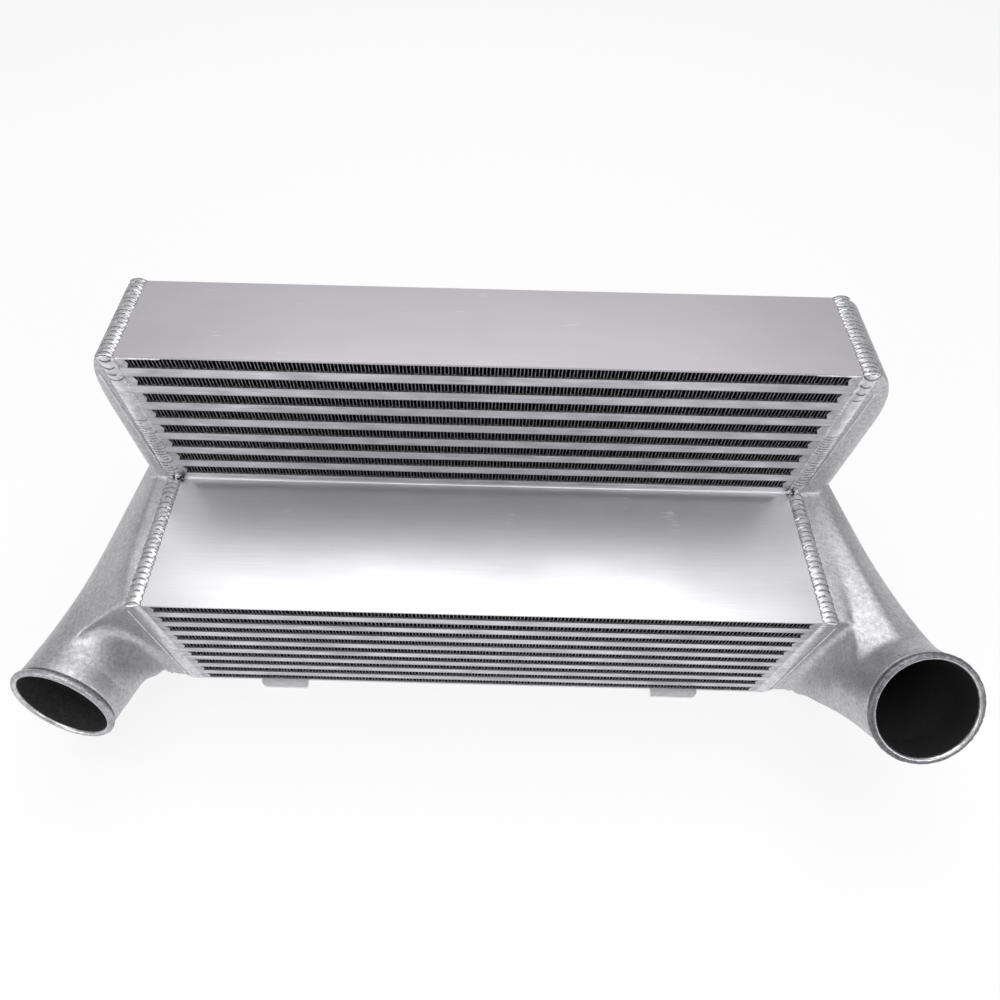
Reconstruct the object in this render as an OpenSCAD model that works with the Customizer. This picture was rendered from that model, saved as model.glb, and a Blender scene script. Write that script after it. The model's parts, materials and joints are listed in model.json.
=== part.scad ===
// Air-to-air intercooler of bar and plate build, all aluminium. The core steps back above its lower
// rows, and a hollow cast tank on either end leads from the core's mouth to a round hose port.
// The origin is the middle of the underside. X runs along the core, Y from the stepped front to
// the flat back, and Z up. Lengths are in millimetres and angles in degrees.

/* [Core] */
// Length of the core from seam to seam
core_l = 508; // [460:1:600]
// Depth of the lower rows, front to back
lower_d = 190.5; // [165:0.5:230]
// Depth of the upper rows, which share the lower rows' back
upper_d = 76.2; // [64:0.1:92]
// Fin rows below the step
lower_rows = 9; // [8:1:9]
// Fin rows above the step
upper_rows = 8; // [7:1:8]

/* [Air fins] */
// Height of a fin row
fin_h = 8.6; // [7:0.1:10.4]
// Distance from leg to leg along the core
fin_pitch = 2.7; // [2.1:0.1:4]
// Thickness of the fin strip
fin_t = 0.25; // [0.15:0.05:0.4]
// How far the fins stay behind the bars' faces
fin_recess = 1; // [0:0.5:4]
// Least gap between the last leg and the nose of a closure bar
fin_end_gap = 0.4; // [0.2:0.1:2]

/* [Charge tubes] */
// Height of a charge tube
tube_h = 8; // [6.6:0.1:9.6]
// Thickness of a tube's parting sheets
sheet_t = 0.6; // [0.4:0.1:1]
// Width of a tube's face bars
face_bar_w = 6; // [4:0.5:9]
// Distance from leg to leg of a turbulator
turbulator_pitch = 4; // [3:0.1:6]
// Thickness of the turbulator strip
turbulator_t = 0.25; // [0.15:0.05:0.4]
// How far a turbulator stays inside its tube's ends
turbulator_setback = 5; // [0:0.5:12]

/* [Closure bars] */
// Width of a closure bar along the core
closure_w = 15.2; // [10:0.1:20]
// How far the bar's pointed nose reaches towards the fins
closure_nose = 2; // [0.5:0.1:3]

/* [Cover plates] */
// Thickness of the bottom plate
bottom_t = 3; // [2:0.1:5]
// Thickness of the step plate
step_t = 1.5; // [1:0.1:3]
// Thickness of the top plate
top_t = 1.5; // [1:0.1:3]
// Radius of the fillet where the step plate meets the upper rows
step_fillet_r = 2; // [1:0.1:4]

/* [End tanks] */
// Wall of a cast tank
tank_wall = 3.5; // [3:0.5:4.5]
// Corner radius of the tanks' outline at the seam
tank_corner_r = 5; // [4:0.5:8]
// How far the right tank's upper leg stands out from the seam
right_leg_out = 23.3; // [18:0.1:30]
// Height of the right leg's rounded shoulder
right_shoulder_h = 64; // [40:1:90]
// How far the left tank's upper leg stands out from the seam
left_leg_out = 16; // [13:0.1:24]
// Height of the left leg's rounded shoulder
left_shoulder_h = 70; // [40:1:90]
// Radius of a leg's upright outer edges
leg_corner_r = 8; // [5:0.5:10]
// Length of the short collar that the casting ends in
collar_l = 3; // [2.5:0.5:6]

/* [Ports] */
// Bore of a port
port_bore_d = 70; // [64:0.1:76]
// Wall of a port's spigot
port_wall = 3.1; // [2.5:0.1:4]
// Length of a spigot, from the casting to its mouth
spigot_l = 24; // [18:0.5:32]
// Radius of the bead at a spigot's mouth
bead_r = 2.5; // [1.5:0.1:3]
// How far the bead's middle line lies inside the spigot's outside
bead_inset = 0.6; // [0:0.1:1]
// Width of the groove behind the bead
groove_w = 2.5; // [1.5:0.1:4]
// Depth of that groove
groove_depth = 0.7; // [0.3:0.1:1.2]
// Right port: mouth centre beyond the core's end
right_port_out = 45.8; // [40:0.1:60]
// Right port: mouth centre in front of the lower rows
right_port_forward = 60.6; // [55:0.1:75]
// Right port: mouth centre above the underside
right_port_up = 144.8; // [130:0.1:155]
// Right port: how far it looks up
right_port_lift = 46.3; // [40:0.1:52]
// Right port: how far it looks outward
right_port_turn = 3; // [0:0.1:10]
// Left port: mouth centre beyond the core's end
left_port_out = 57.1; // [50:0.1:70]
// Left port: mouth centre in front of the lower rows
left_port_forward = 54.7; // [50:0.1:70]
// Left port: mouth centre above the underside
left_port_up = 84.7; // [78:0.1:95]
// Left port: how far it looks up
left_port_lift = 14.9; // [10:0.1:20]
// Left port: how far it looks outward
left_port_turn = 11.2; // [5:0.1:16]

/* [Welds] */
// Width of the weld bead along a seam
weld_w = 9; // [6:0.5:12]
// Height of the weld bead
weld_h = 1.6; // [0.8:0.1:2.4]
// How far the bead reaches past the seam onto the tank
weld_past_seam = 1.5; // [0.5:0.1:2.5]
// Leg of the fillet weld under a tank's lower edge
base_weld = 3; // [1.5:0.1:3]

/* [Tabs] */
// Width of a tab along the core
tab_w = 41; // [30:1:60]
// How far a tab stands out in front of the core
tab_out = 7.3; // [6.5:0.1:14]
// Distance of a tab's middle from the core's middle
tab_at = 171.5; // [140:0.5:200]
// Radius of a tab's outer corner
tab_corner_r = 6; // [1:0.5:6]

/* [Hidden] */
rows = lower_rows + upper_rows;
tubes = rows - 1;
half_l = core_l / 2;
back_y = lower_d / 2;
front_y = -lower_d / 2;
step_y = back_y - upper_d;
row_pitch = fin_h + tube_h;
step_z = bottom_t + (lower_rows - 1) * row_pitch + fin_h + step_t;
top_z = bottom_t + (rows - 1) * row_pitch + fin_h + top_t;
fin_span = core_l - 2 * (closure_w + closure_nose + fin_end_gap);
port_r = port_bore_d / 2;
spigot_r = port_r + port_wall;
smooth = 96;
// Lets a cut run past the faces that it opens
cut_past = 1;

// The casting's last ring is this much larger than the spigot, outside and inside
collar_step = 0.5;
// How far the spigot reaches into the collar
spigot_lap = 2;
neck_steps = 9;
shoulder_steps = 12;
arc_steps = 3;
// Steps along the bottom, back, top and front of a neck's outline
side_steps = [4, 8, 6, 6];
// Share of an outline's count that a rounded corner takes
corner_share = 0.06;
// How many outline points on either side a wall's direction is taken over
facing_points = 3;
// Radius of the hollow's corners at the seam, and how much longer its pull away from the seam is
hollow_corner_r = 22;
hollow_pull = 1.2;
// Share of the wall by which the hollow's bends lie further in or out than the outer skin's
right_hollow_shift = 0.3;
left_hollow_shift = 0.7;
// How far below the step a tank's leg reaches into the neck, and where it starts to narrow
leg_foot = 36;
leg_foot_start = 10;
leg_foot_out = 6;

// Where the stations lie along a neck's outline, counted in corners from the front bottom one:
// front bottom, back bottom, back top, top in front of the leg, front top and front middle
stations = [0, 1, 2, 2.4, 3, 3.5];
// Shape of a neck at each station: angle round the port that the wall runs to, bulge past the
// seam, pull of its curve away from the seam and pull of its curve into the port
right_shape = [
    [220, 3, 10, 35],
    [300, 13, 20, 75],
    [430, 12, 30, 130],
    [458, 12, 35, 110],
    [515, 8, 25, 50],
    [545, 6, 25, 50]
];
left_shape = [
    [190, 3, 10, 40],
    [255, 12, 25, 100],
    [362, 10, 25, 130],
    [382, 10, 25, 125],
    [452, 8, 20, 105],
    [492, 6, 20, 85]
];

function two_digits(n) = n < 10 ? str("0", n) : str(n);
function numbered(name, count) = [for (n = [1:count]) str(name, two_digits(n))];

// Rows and tubes are counted from 0 at the bottom
function row_z(row) = bottom_t + row * row_pitch;
function row_depth(row) = row < lower_rows ? lower_d : upper_d;
function tube_z(tube) = row_z(tube) + fin_h;
function tube_depth(tube) = tube < lower_rows - 1 ? lower_d : upper_d;

// A strip folded into a square wave, as an outline that starts at its middle line's left end.
// Each leg gives the fold that it shares with the next: even legs fold over at the top.
function fold_edge(span, h, pitch, t, upper) = let (
    legs = floor(span / pitch) + 1,
    x0 = -(legs - 1) * pitch / 2
) [for (k = [0:legs - 1]) let (
    rises = k % 2 == 0,
    starts_low = k == 0 || (k == legs - 1 && !rises),
    ends_high = k == legs - 1 && rises,
    x = x0 + k * pitch + (rises == upper ? -t / 2 : t / 2),
    low = upper && !starts_low ? t : 0,
    high = upper || ends_high ? h : h - t
) each rises ? [[x, low], [x, high]] : [[x, high], [x, low]]];

module corrugation(span, h, pitch, t) {
    upper = fold_edge(span, h, pitch, t, true);
    lower = fold_edge(span, h, pitch, t, false);
    polygon(concat(upper, [for (k = [len(lower) - 1:-1:0]) lower[k]]));
}

module air_fin_row(row)
    color("silver")
    translate([0, back_y - fin_recess, row_z(row)])
    rotate([90, 0, 0])
    linear_extrude(row_depth(row) - 2 * fin_recess)
    corrugation(fin_span, fin_h, fin_pitch, fin_t);

module charge_tube(tube)
    color("gainsboro")
    translate([-half_l, back_y - tube_depth(tube), tube_z(tube)])
    difference() {
        cube([core_l, tube_depth(tube), tube_h]);
        translate([-cut_past, face_bar_w, sheet_t])
            cube([core_l + 2 * cut_past, tube_depth(tube) - 2 * face_bar_w, tube_h - 2 * sheet_t]);
    }

module turbulator(tube)
    color("darkgray")
    translate([turbulator_setback - half_l, back_y - tube_depth(tube) / 2, tube_z(tube) + sheet_t])
    rotate([90, 0, 90])
    linear_extrude(core_l - 2 * turbulator_setback)
    corrugation(
        tube_depth(tube) - 2 * face_bar_w - turbulator_t,
        tube_h - 2 * sheet_t,
        turbulator_pitch,
        turbulator_t
    );

// Section of the closure bar at the right end, with its outer face on the seam
module closure_section()
    polygon([
        [0, 0],
        [0, fin_h],
        [-closure_w, fin_h],
        [-closure_w - closure_nose, fin_h / 2],
        [-closure_w, 0]
    ]);

module closure_bars()
    color("lightgray")
    for (row = [0:rows - 1])
        translate([half_l, back_y, row_z(row)])
        rotate([90, 0, 0])
        linear_extrude(row_depth(row))
        closure_section();

module bottom_plate()
    color("lightgray")
    translate([-half_l, front_y, 0])
    cube([core_l, lower_d, bottom_t]);

module top_plate()
    color("gainsboro")
    translate([-half_l, step_y, top_z - top_t])
    cube([core_l, upper_d, top_t]);

module step_plate()
    color("whitesmoke")
    translate([-half_l, step_y, step_z])
    rotate([90, 0, 90])
    linear_extrude(core_l)
    union() {
        translate([front_y - step_y, -step_t])
            square([step_y - front_y, step_t]);
        difference() {
            translate([-step_fillet_r, 0])
                square(step_fillet_r);
            translate([-step_fillet_r, step_fillet_r])
                circle(r = step_fillet_r, $fn = smooth);
        }
    }

// Geometry of a tank, told for the right end: the left one is its mirror image
function unit(v) = v / norm(v);
function port_mouth(out, forward, up) = [half_l + out, front_y - forward, up];
function port_axis(lift, turn) = [sin(turn) * cos(lift), -cos(turn) * cos(lift), sin(lift)];

// Corners of a neck's outline at the seam as [y, z], set in by w, from the front bottom one
function neck_corners(w) = [
    [front_y + w, bottom_t + w],
    [back_y - w, bottom_t + w],
    [back_y - w, step_z - w],
    [front_y + w, step_z - w]
];

// Points [[y, z], place] of the outline with corners of radius r: place counts the corners passed
function neck_outline(w, r) = let (c = neck_corners(w)) [
    for (k = [0:3]) let (
        p = c[k],
        to_last = unit(c[(k + 3) % 4] - p),
        to_next = unit(c[(k + 1) % 4] - p),
        middle = p + (to_last + to_next) * r,
        side_start = p + to_next * r,
        side_end = c[(k + 1) % 4] - to_next * r
    ) each concat(
        [for (j = [0:arc_steps]) let (a = 90 * j / arc_steps) [
            middle - r * (to_next * cos(a) + to_last * sin(a)),
            k + corner_share * (j / arc_steps - 0.5)
        ]],
        [for (j = [1:side_steps[k] - 1]) let (t = j / side_steps[k]) [
            side_start + (side_end - side_start) * t,
            k + corner_share / 2 + (1 - corner_share) * t
        ]]
    )
];

// One column of the shape list at a place on the outline, taken evenly between stations
function shape_at(shape, place, column) = let (
    full_turn = column == 0 ? 360 : 0,
    marks = concat(
        [for (k = [0:len(stations) - 1]) [stations[k], shape[k][column]]],
        [[4, shape[0][column] + full_turn]]
    )
) lookup(place < 0 ? place + 4 : place, marks);

// A cubic from one point to another with its pull at either end, t from 0 to 1
function cubic(from, leave, to, arrive, t) = (
    (2 * pow(t, 3) - 3 * pow(t, 2) + 1) * from
    + (pow(t, 3) - 2 * pow(t, 2) + t) * leave
    + (3 * pow(t, 2) - 2 * pow(t, 3)) * to
    + (pow(t, 3) - pow(t, 2)) * arrive
);

// The rings of a neck's skin from the seam to the collar's end. The hollow's skin is set in by w,
// and its bends lie further in or out by shift, depending on which way the wall turns there.
function neck_rings(w, shift, pull, corner_r, ring_r, past, mouth, axis, shape) = let (
    outline = neck_outline(w, corner_r),
    count = len(outline),
    across = unit([1, 0, 0] - axis * axis[0]),
    up = cross(axis, across),
    collar_end = mouth - axis * spigot_l,
    collar_start = collar_end - axis * collar_l,
    edge = [for (p = outline) [half_l, p[0][0], p[0][1]]],
    reach = [for (p = outline) shape_at(shape, p[1], 1)],
    spokes = [for (p = outline) let (a = shape_at(shape, p[1], 0)) ring_r * (cos(a) * across + sin(a) * up)],
    bend = [for (k = [0:count - 1]) let (
        along = unit(edge[(k + facing_points) % count] - edge[(k + count - facing_points) % count]),
        run = unit(collar_start + spokes[k] - edge[k] - [reach[k], 0, 0]),
        facing = unit(cross(along, run))
    ) edge[k] + [reach[k] - shift * facing[0], 0, 0]]
) concat(
    [[for (p = edge) p - [past, 0, 0]]],
    [bend],
    [for (i = [1:neck_steps]) [
        for (k = [0:count - 1]) let (place = outline[k][1]) cubic(
            bend[k],
            [pull * shape_at(shape, place, 2), 0, 0],
            collar_start + spokes[k],
            axis * shape_at(shape, place, 3),
            i / neck_steps
        )
    ]],
    [[for (spoke = spokes) collar_end + axis * past + spoke]]
);

// A solid through a list of rings, closed at either end by a fan round the ring's middle
module ring_solid(rings) {
    count = len(rings);
    around = len(rings[0]);
    ones = [for (k = [1:around]) 1 / around];
    start_middle = count * around;
    end_middle = start_middle + 1;
    polyhedron(
        points = concat([for (ring = rings) each ring], [ones * rings[0], ones * rings[count - 1]]),
        faces = [for (k = [0:around - 1]) let (k2 = (k + 1) % around) each concat(
            [[start_middle, k, k2]],
            [for (i = [0:count - 2]) let (here = i * around, next = here + around)
                each [[here + k, next + k, next + k2], [here + k, next + k2, here + k2]]
            ],
            [[end_middle, (count - 1) * around + k2, (count - 1) * around + k]]
        )]
    );
}

// Side view of a tank's upper leg, set in by w: X runs outward and Y up
module leg_side(reach, shoulder_h, w, past) {
    out = reach - w;
    polygon(concat(
        [
            [-past, step_z - leg_foot + w],
            [leg_foot_out - w, step_z - leg_foot + w],
            [out, step_z + leg_foot_start]
        ],
        [for (i = [0:shoulder_steps]) let (a = 90 * i / shoulder_steps) [
            out * cos(a),
            top_z - shoulder_h + (shoulder_h - w) * sin(a)
        ]],
        past > 0 ? [[-past, top_z - w]] : []
    ));
}

// The upper leg: its side view, cut to a plan with rounded outer corners
module leg(reach, shoulder_h, w, past)
    intersection() {
        translate([half_l, back_y, 0])
            rotate([90, 0, 0])
            linear_extrude(upper_d)
            leg_side(reach, shoulder_h, w, past);
        translate([half_l, 0, 0])
            linear_extrude(top_z + past)
            leg_plan(reach - w, max(leg_corner_r - w, 1), w, past);
    }

module leg_plan(out, r, w, past)
    difference() {
        translate([-past, step_y + w])
            square([out + past, upper_d - 2 * w]);
        for (side = [0, 1])
            translate([out, side == 0 ? step_y + w : back_y - w])
            mirror([0, side, 0])
            difference() {
                translate([-r, -cut_past])
                    square([r + cut_past, r + cut_past]);
                translate([-r, r])
                    circle(r = r, $fn = smooth);
            }
    }

// Half section of a spigot: X is the radius and Y runs along the port from the casting's end
module spigot_section() {
    bead_y = spigot_l - bead_r;
    difference() {
        union() {
            translate([port_r, -spigot_lap])
                square([port_wall, spigot_lap + spigot_l - 2 * bead_r]);
            translate([port_r, bead_y - bead_r])
                square([port_wall - bead_inset, 2 * bead_r]);
            translate([spigot_r - bead_inset, bead_y])
                circle(r = bead_r, $fn = smooth);
        }
        translate([spigot_r - groove_depth, bead_y - bead_r - groove_w])
            square([groove_depth + cut_past, groove_w]);
        translate([0, -spigot_lap - cut_past])
            square([port_r, spigot_lap + spigot_l + 2 * cut_past]);
    }
}

module tank(mouth, lift, turn, leg_reach, leg_shoulder_h, hollow_shift, shape) {
    axis = port_axis(lift, turn);
    color("darkgray")
    union() {
        difference() {
            union() {
                ring_solid(neck_rings(
                    0, 0, 1, tank_corner_r, spigot_r + collar_step, 0, mouth, axis, shape
                ));
                leg(leg_reach, leg_shoulder_h, 0, 0);
            }
            ring_solid(neck_rings(
                tank_wall, tank_wall * hollow_shift, hollow_pull,
                hollow_corner_r, port_r + collar_step, cut_past, mouth, axis, shape
            ));
            leg(leg_reach, leg_shoulder_h, tank_wall, cut_past);
        }
        translate(mouth - axis * spigot_l)
            rotate([0, 90 - lift, turn - 90])
            rotate_extrude($fn = smooth)
            spigot_section();
    }
}

module right_tank()
    tank(
        port_mouth(right_port_out, right_port_forward, right_port_up),
        right_port_lift,
        right_port_turn,
        right_leg_out,
        right_shoulder_h,
        right_hollow_shift,
        right_shape
    );

module left_tank()
    mirror([1, 0, 0])
    tank(
        port_mouth(left_port_out, left_port_forward, left_port_up),
        left_port_lift,
        left_port_turn,
        left_leg_out,
        left_shoulder_h,
        left_hollow_shift,
        left_shape
    );

// Section of a weld bead, an arc in eight straight steps: X runs across the seam, and the flat
// side lies on Y = 0
module bead_section() {
    r = (pow(weld_w / 2, 2) + pow(weld_h, 2)) / (2 * weld_h);
    half = asin(weld_w / 2 / r);
    polygon([
        for (i = [-4:4]) let (a = -half * i / 4)
            [r * sin(a), abs(i) == 4 ? 0 : weld_h - r + r * cos(a)]
    ]);
}

// A straight bead from y, z. With a turn of 0 it lies on top and runs forward, with 90 it lies in
// front and runs down, and with -90 it lies at the back and runs up.
module bead_run(y, z, length, turn)
    translate([0, y, z])
    rotate([turn, 0, 0])
    rotate([90, 0, 0])
    linear_extrude(length)
    bead_section();

// A quarter turn of the bead round an outer corner of the core, from front to top
module bead_corner(y, z, turn)
    translate([0, y, z])
    rotate([turn, 0, 0])
    rotate([0, 90, 0])
    rotate([0, 0, 180])
    rotate_extrude(angle = 90, $fn = smooth)
    rotate(-90)
    bead_section();

// The weld at the right end: a bead over all but the underside, and a fillet under the tank
module weld()
    color("lightgray")
    union() {
        translate([half_l + weld_past_seam - weld_w / 2, 0, 0]) {
            bead_run(front_y, step_z, step_z, 90);
            bead_corner(front_y, step_z, 0);
            bead_run(step_y, step_z, step_y - front_y, 0);
            bead_run(step_y, top_z, top_z - step_z, 90);
            bead_corner(step_y, top_z, 0);
            bead_run(back_y, top_z, upper_d, 0);
            bead_corner(back_y, top_z, -90);
            bead_run(back_y, 0, top_z, -90);
        }
        translate([half_l, back_y - tank_corner_r, 0])
            rotate([90, 0, 0])
            linear_extrude(lower_d - 2 * tank_corner_r)
            polygon([[0, bottom_t - base_weld], [base_weld, bottom_t], [0, bottom_t]]);
    }

// The tab at the right end, with its rounded corner outward
module tab()
    color("lightgray")
    translate([tab_at - tab_w / 2, front_y - tab_out, 0])
    linear_extrude(bottom_t)
    difference() {
        square([tab_w, tab_out]);
        translate([tab_w - tab_corner_r, 0])
        difference() {
            square(tab_corner_r);
            translate([0, tab_corner_r])
                circle(r = tab_corner_r, $fn = smooth);
        }
    }

top_plate();
step_plate();
bottom_plate();
left_tank();
right_tank();
mirror([1, 0, 0]) weld();  // left_weld
weld();  // right_weld
mirror([1, 0, 0]) closure_bars();  // left_closure_bars
closure_bars();  // right_closure_bars
mirror([1, 0, 0]) tab();  // left_tab
tab();  // right_tab
for (row = [0:rows - 1])
    air_fin_row(row);
for (tube = [0:tubes - 1])
    charge_tube(tube);
for (tube = [0:tubes - 1])
    turbulator(tube);
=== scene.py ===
"""Looks of an all-aluminium air-to-air intercooler, built round its CAD frame.

The frame gives the plates, bars, tubes and tabs, which stay and get their finishes here. The fin
rows, the two cast end tanks and the welds along the seams are made again with the detail that the
eye expects: folded fin stock, soft sand-cast edges and rippled weld beads. Sizes are written in
millimetres, and MM turns them into Blender's metres.
"""

import json
import logging
import math
from dataclasses import dataclass, field
from enum import Enum

import bmesh
import bpy
import numpy as np
from bpy.types import Material, Mesh, NodeSocket, NodeTree, Object
from mathutils import Matrix, Vector, noise
from mathutils.bvhtree import BVHTree

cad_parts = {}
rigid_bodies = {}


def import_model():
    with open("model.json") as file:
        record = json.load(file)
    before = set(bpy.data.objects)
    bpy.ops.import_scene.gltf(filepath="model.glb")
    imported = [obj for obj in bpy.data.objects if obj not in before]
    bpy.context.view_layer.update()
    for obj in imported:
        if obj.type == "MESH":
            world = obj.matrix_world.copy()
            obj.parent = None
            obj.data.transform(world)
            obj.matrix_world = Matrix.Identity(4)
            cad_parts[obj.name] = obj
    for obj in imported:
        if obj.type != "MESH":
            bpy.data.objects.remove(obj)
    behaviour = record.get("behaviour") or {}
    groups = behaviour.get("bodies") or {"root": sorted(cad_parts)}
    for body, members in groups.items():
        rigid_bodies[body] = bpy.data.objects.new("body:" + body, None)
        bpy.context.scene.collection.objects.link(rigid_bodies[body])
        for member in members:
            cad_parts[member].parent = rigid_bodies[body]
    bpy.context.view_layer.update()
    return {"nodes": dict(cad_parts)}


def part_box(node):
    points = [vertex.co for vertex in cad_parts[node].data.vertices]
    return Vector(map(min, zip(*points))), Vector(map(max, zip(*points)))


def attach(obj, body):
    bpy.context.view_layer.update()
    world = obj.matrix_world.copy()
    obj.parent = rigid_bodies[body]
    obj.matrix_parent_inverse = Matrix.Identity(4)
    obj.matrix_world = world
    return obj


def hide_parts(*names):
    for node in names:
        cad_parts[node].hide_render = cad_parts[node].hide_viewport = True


log = logging.getLogger("intercooler")
MM = 0.001
ROOT = "root"
# Sizes of the core's stack in the CAD, in millimetres.
FIN_ROW_H = 8.6
TUBE_H = 8.0
SHEET_T = 0.6


def linear(hex_colour: str) -> tuple[float, float, float, float]:
    """Turn an sRGB colour written as hex into linear RGBA.

    Args:
        hex_colour: Six hex digits, such as "c8ccd0".

    Returns:
        The linear colour with an alpha of 1.
    """
    channels = []
    for i in (0, 2, 4):
        c = int(hex_colour[i : i + 2], 16) / 255
        channels.append(c / 12.92 if c <= 0.04045 else ((c + 0.055) / 1.055) ** 2.4)
    return (channels[0], channels[1], channels[2], 1.0)


def add_node(
    tree: NodeTree, kind: str, inputs: dict | None = None, out: int | str = 0, **settings: str
) -> NodeSocket:
    """Add a shader node with its settings and whatever feeds its inputs.

    Args:
        tree: Node tree that gets the node.
        kind: Type of the node.
        inputs: Input name or index to its value, or to the output socket that feeds it.
        out: Name or index of the output that is wanted.
        **settings: Attributes of the node.

    Returns:
        That output.
    """
    node = tree.nodes.new(kind)
    for key, value in settings.items():
        setattr(node, key, value)
    for key, value in (inputs or {}).items():
        if isinstance(value, NodeSocket):
            tree.links.new(value, node.inputs[key])
        else:
            node.inputs[key].default_value = value
    return node.outputs[out]


def mesh_object(name: str, mesh: Mesh) -> Object:
    """Put a mesh into the scene as an object at the origin.

    Args:
        name: Name of the object.
        mesh: Its mesh.

    Returns:
        The new object.
    """
    piece = bpy.data.objects.new(name, mesh)
    bpy.context.scene.collection.objects.link(piece)
    return piece


def mesh_from(name: str, points: np.ndarray, faces: list) -> Mesh:
    """Make a smooth-shaded mesh from points in millimetres.

    Args:
        name: Name of the mesh.
        points: One row of x, y, z for each vertex.
        faces: Vertex indices of each face.

    Returns:
        The new mesh.
    """
    mesh = bpy.data.meshes.new(name)
    mesh.from_pydata((np.asarray(points, float) * MM).tolist(), [], faces)
    mesh.polygons.foreach_set("use_smooth", [True] * len(mesh.polygons))
    mesh.update()
    return mesh


def mesh_of(name: str, work: bmesh.types.BMesh) -> Mesh:
    """Turn a working mesh, which it frees, into a mesh.

    Args:
        name: Name of the mesh.
        work: The working mesh.

    Returns:
        The new mesh.
    """
    mesh = bpy.data.meshes.new(name)
    work.to_mesh(mesh)
    work.free()
    return mesh


def finish_mesh(mesh: Mesh) -> Mesh:
    """Merge doubled points and turn all faces outward.

    Args:
        mesh: A closed mesh.

    Returns:
        The same mesh.
    """
    work = bmesh.new()
    work.from_mesh(mesh)
    bmesh.ops.remove_doubles(work, verts=work.verts, dist=1e-7)
    bmesh.ops.recalc_face_normals(work, faces=work.faces)
    work.to_mesh(mesh)
    work.free()
    return mesh


def grid_faces(rows: int, columns: int, wrap: bool = False, start: int = 0) -> list[tuple[int, ...]]:
    """Quads of a grid of points that is stored row by row.

    Args:
        rows: Number of rows.
        columns: Points in a row.
        wrap: Whether the last column joins the first.
        start: Index of the grid's first point.

    Returns:
        The quads.
    """
    faces = []
    for i in range(rows - 1):
        here, after = start + i * columns, start + (i + 1) * columns
        for k in range(columns if wrap else columns - 1):
            k2 = (k + 1) % columns
            faces.append((here + k, after + k, after + k2, here + k2))
    return faces


def end_faces(rows: int, columns: int) -> list[tuple[int, ...]]:
    """The two faces that close a grid's first and last row.

    Args:
        rows: Number of rows.
        columns: Points in a row.

    Returns:
        The two faces.
    """
    return [tuple(row * columns + k for k in range(columns)) for row in (0, rows - 1)]


def add_piece(
    name: str,
    mesh: Mesh,
    materials: list[Material],
    replaces: tuple[str, ...] = (),
) -> None:
    """Put a finished piece on the model.

    Args:
        name: Name of the piece.
        mesh: Its mesh.
        materials: Materials in the order of the mesh's material indices.
        replaces: CAD nodes that the piece stands for.
    """
    piece = mesh_object(name, mesh)
    for material in materials:
        mesh.materials.append(material)
    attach(piece, ROOT)
    if replaces:
        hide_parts(*replaces)
    log.info("%s: %d faces", name, len(mesh.polygons))


class Side(Enum):
    """The two ends of the core, as the sign of X."""

    LEFT = -1
    RIGHT = 1

    @property
    def label(self) -> str:
        """Lower-case name, as the CAD nodes use it."""
        return self.name.lower()


@dataclass(frozen=True)
class Core:
    """Sizes of the core, in millimetres, as the frame has them."""

    half_l: float
    front_y: float
    back_y: float
    step_y: float
    bottom_z: float
    step_z: float
    top_z: float

    @classmethod
    def from_frame(cls) -> "Core":
        """Read the sizes off the CAD nodes.

        Returns:
            The core's sizes.
        """
        low, high = (np.array(p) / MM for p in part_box("bottom_plate"))
        top_low, top_high = (np.array(p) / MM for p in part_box("top_plate"))
        step_low, _ = (np.array(p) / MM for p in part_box("step_plate"))
        plate = top_high[2] - top_low[2]
        return cls(high[0], low[1], high[1], top_low[1], high[2], step_low[2] + plate, top_high[2])


@dataclass(frozen=True)
class Grey:
    """A band of greys, with the roughness that goes with either end."""

    dark: str
    light: str
    rough_dark: float
    rough_light: float


@dataclass(frozen=True)
class Pattern:
    """A noise in a finish: how large its features are, and what it does to shade and relief."""

    size_mm: float
    height_mm: float = 0.0
    share: float = 1.0
    stretch: float = 1.0
    detail: float = 3.0

    def add_to(self, tree: NodeTree, where: NodeSocket) -> NodeSocket:
        """Add the pattern, whose features are stretched along the core.

        Args:
            tree: Node tree that gets it.
            where: Coordinates in metres.

        Returns:
            The pattern's value, from 0 to 1.
        """
        squeezed = {"Vector": where, "Scale": (1 / self.stretch, 1, 1)}
        place = add_node(tree, "ShaderNodeMapping", squeezed)
        values = {"Vector": place, "Scale": 1 / (self.size_mm * MM), "Detail": self.detail}
        return add_node(tree, "ShaderNodeTexNoise", values)


@dataclass(frozen=True)
class Mark:
    """Where a finish is marked by something finer than its patterns."""

    value: NodeSocket
    colour: str
    height_mm: float


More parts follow.
